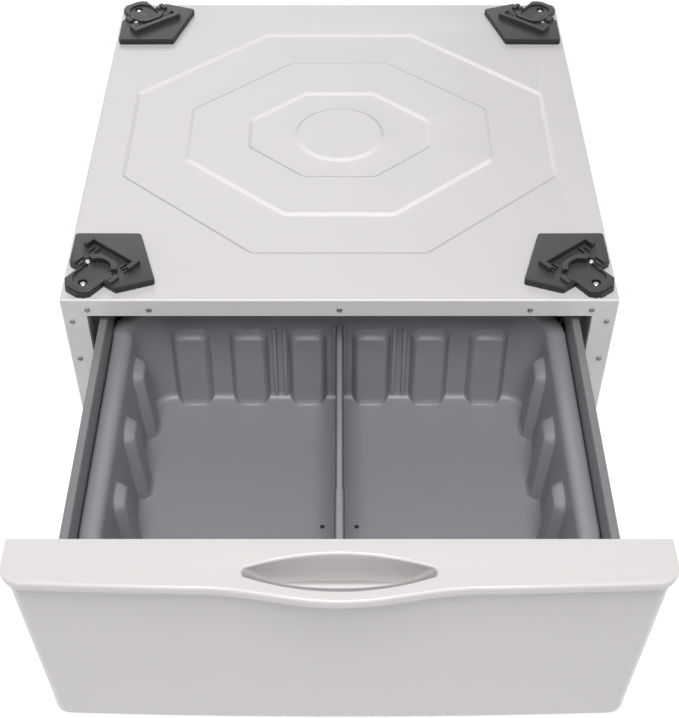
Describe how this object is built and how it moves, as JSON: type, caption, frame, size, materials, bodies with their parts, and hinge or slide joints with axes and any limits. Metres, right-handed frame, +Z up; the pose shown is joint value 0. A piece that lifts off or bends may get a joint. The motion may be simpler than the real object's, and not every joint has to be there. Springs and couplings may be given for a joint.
{
  "type": "washer pedestal drawer",
  "caption": "Laundry pedestal with a pressed steel deck, corner pads that hold a washer's feet, and a wide drawer on ball slides with a ribbed tub and a divider.",
  "frame": {"origin": "middle of the whole pedestal with its drawer out, at the floor", "axes": "+X to the right seen from the front, +Y from the drawer's front to the rear, +Z up"},
  "size_m": [0.689, 1.1212, 0.377],
  "materials": {
    "white_paint": "satin powder coat",
    "front_plastic": "satin gloss",
    "galvanised_steel": "galvanised",
    "box_steel": "satin",
    "tub_plastic": "fine grain",
    "pad_plastic": "moulded",
    "foot_plastic": "matte",
    "zinc_steel": "zinc plated"
  },
  "bodies": {
    "cabinet": {"cabinet_wrap": "white_paint", "rear_panel": "white_paint", "header_beam": "galvanised_steel", "front_post_left": "galvanised_steel", "front_post_right": "galvanised_steel", "base_rail_left": "galvanised_steel", "base_rail_right": "galvanised_steel", "base_rail_front": "galvanised_steel", "base_rail_rear": "galvanised_steel", "deck_brace_front": "galvanised_steel", "deck_brace_rear": "galvanised_steel", "slide_mount_left": "galvanised_steel", "slide_mount_right": "galvanised_steel", "slide_outer_left": "zinc_steel", "slide_outer_right": "zinc_steel", "frame_screws": "zinc_steel", "rear_screws": "zinc_steel", "corner_pad_front_left": "pad_plastic", "corner_pad_front_right": "pad_plastic", "corner_pad_rear_left": "pad_plastic", "corner_pad_rear_right": "pad_plastic", "foot_clamp_front_left": "pad_plastic", "foot_clamp_front_right": "pad_plastic", "foot_clamp_rear_left": "pad_plastic", "foot_clamp_rear_right": "pad_plastic", "clamp_screws": "zinc_steel", "pad_screws": "zinc_steel", "weld_nuts": "zinc_steel", "lock_nuts": "zinc_steel"},
    "drawer": {"drawer_front": "front_plastic", "front_inner_panel": "galvanised_steel", "drawer_side_left": "box_steel", "drawer_side_right": "box_steel", "drawer_back": "box_steel", "drawer_pan": "galvanised_steel", "drawer_tub": "tub_plastic", "slide_inner_left": "zinc_steel", "slide_inner_right": "zinc_steel", "slide_screws": "zinc_steel", "closing_bumpers": "foot_plastic"},
    "divider": {"divider_panel": "tub_plastic", "divider_rail": "tub_plastic", "divider_sleeve": "tub_plastic"},
    "slide_middle_left": {"slide_middle_left": "zinc_steel"},
    "ball_cage_outer_left": {"ball_cage_outer_left": "zinc_steel"},
    "ball_cage_inner_left": {"ball_cage_inner_left": "zinc_steel"},
    "slide_middle_right": {"slide_middle_right": "zinc_steel"},
    "ball_cage_outer_right": {"ball_cage_outer_right": "zinc_steel"},
    "ball_cage_inner_right": {"ball_cage_inner_right": "zinc_steel"},
    "foot_pad_front_left": {"foot_pad_front_left": "foot_plastic"},
    "foot_stem_front_left": {"foot_stem_front_left": "zinc_steel"},
    "foot_pad_front_right": {"foot_pad_front_right": "foot_plastic"},
    "foot_stem_front_right": {"foot_stem_front_right": "zinc_steel"},
    "foot_pad_rear_left": {"foot_pad_rear_left": "foot_plastic"},
    "foot_stem_rear_left": {"foot_stem_rear_left": "zinc_steel"},
    "foot_pad_rear_right": {"foot_pad_rear_right": "foot_plastic"},
    "foot_stem_rear_right": {"foot_stem_rear_right": "zinc_steel"}
  },
  "joints": [
    {"name": "drawer_slide", "type": "slide", "parent": "cabinet", "child": "drawer", "axis": [0, -1, 0], "range_m": [-0.355, 0]},
    {"name": "divider_lift", "type": "slide", "parent": "drawer", "child": "divider", "axis": [0, 0, 1], "range_m": [0, 0.065]},
    {"name": "slide_run_left", "type": "slide", "parent": "cabinet", "child": "slide_middle_left", "axis": [0, -1, 0], "range_m": [-0.1775, 0]},
    {"name": "outer_balls_run_left", "type": "slide", "parent": "cabinet", "child": "ball_cage_outer_left", "axis": [0, -1, 0], "range_m": [-0.08875, 0]},
    {"name": "inner_balls_run_left", "type": "slide", "parent": "cabinet", "child": "ball_cage_inner_left", "axis": [0, -1, 0], "range_m": [-0.26625, 0]},
    {"name": "slide_run_right", "type": "slide", "parent": "cabinet", "child": "slide_middle_right", "axis": [0, -1, 0], "range_m": [-0.1775, 0]},
    {"name": "outer_balls_run_right", "type": "slide", "parent": "cabinet", "child": "ball_cage_outer_right", "axis": [0, -1, 0], "range_m": [-0.08875, 0]},
    {"name": "inner_balls_run_right", "type": "slide", "parent": "cabinet", "child": "ball_cage_inner_right", "axis": [0, -1, 0], "range_m": [-0.26625, 0]},
    {"name": "foot_height_front_left", "type": "slide", "parent": "cabinet", "child": "foot_pad_front_left", "axis": [0, 0, -1], "range_m": [-0.005, 0.015]},
    {"name": "foot_spin_front_left", "type": "hinge", "parent": "foot_pad_front_left", "child": "foot_stem_front_left", "pos_m": [-0.301, -0.0831, 0], "axis": [0, 0, -1], "range_deg": [-1200, 3600]},
    {"name": "foot_height_front_right", "type": "slide", "parent": "cabinet", "child": "foot_pad_front_right", "axis": [0, 0, -1], "range_m": [-0.005, 0.015]},
    {"name": "foot_spin_front_right", "type": "hinge", "parent": "foot_pad_front_right", "child": "foot_stem_front_right", "pos_m": [0.301, -0.0831, 0], "axis": [0, 0, -1], "range_deg": [-1200, 3600]},
    {"name": "foot_height_rear_left", "type": "slide", "parent": "cabinet", "child": "foot_pad_rear_left", "axis": [0, 0, -1], "range_m": [-0.005, 0.015]},
    {"name": "foot_spin_rear_left", "type": "hinge", "parent": "foot_pad_rear_left", "child": "foot_stem_rear_left", "pos_m": [-0.301, 0.5149, 0], "axis": [0, 0, -1], "range_deg": [-1200, 3600]},
    {"name": "foot_height_rear_right", "type": "slide", "parent": "cabinet", "child": "foot_pad_rear_right", "axis": [0, 0, -1], "range_m": [-0.005, 0.015]},
    {"name": "foot_spin_rear_right", "type": "hinge", "parent": "foot_pad_rear_right", "child": "foot_stem_rear_right", "pos_m": [0.301, 0.5149, 0], "axis": [0, 0, -1], "range_deg": [-1200, 3600]}
  ],
  "couplings": [
    {"joint": "slide_run_left", "follows": "drawer_slide", "ratio": 0.5},
    {"joint": "outer_balls_run_left", "follows": "drawer_slide", "ratio": 0.25},
    {"joint": "inner_balls_run_left", "follows": "drawer_slide", "ratio": 0.75},
    {"joint": "slide_run_right", "follows": "drawer_slide", "ratio": 0.5},
    {"joint": "outer_balls_run_right", "follows": "drawer_slide", "ratio": 0.25},
    {"joint": "inner_balls_run_right", "follows": "drawer_slide", "ratio": 0.75},
    {"joint": "foot_spin_front_left", "follows": "foot_height_front_left", "rad_per_m": 4188.8},
    {"joint": "foot_spin_front_right", "follows": "foot_height_front_right", "rad_per_m": 4188.8},
    {"joint": "foot_spin_rear_left", "follows": "foot_height_rear_left", "rad_per_m": 4188.8},
    {"joint": "foot_spin_rear_right", "follows": "foot_height_rear_right", "rad_per_m": 4188.8}
  ]
}
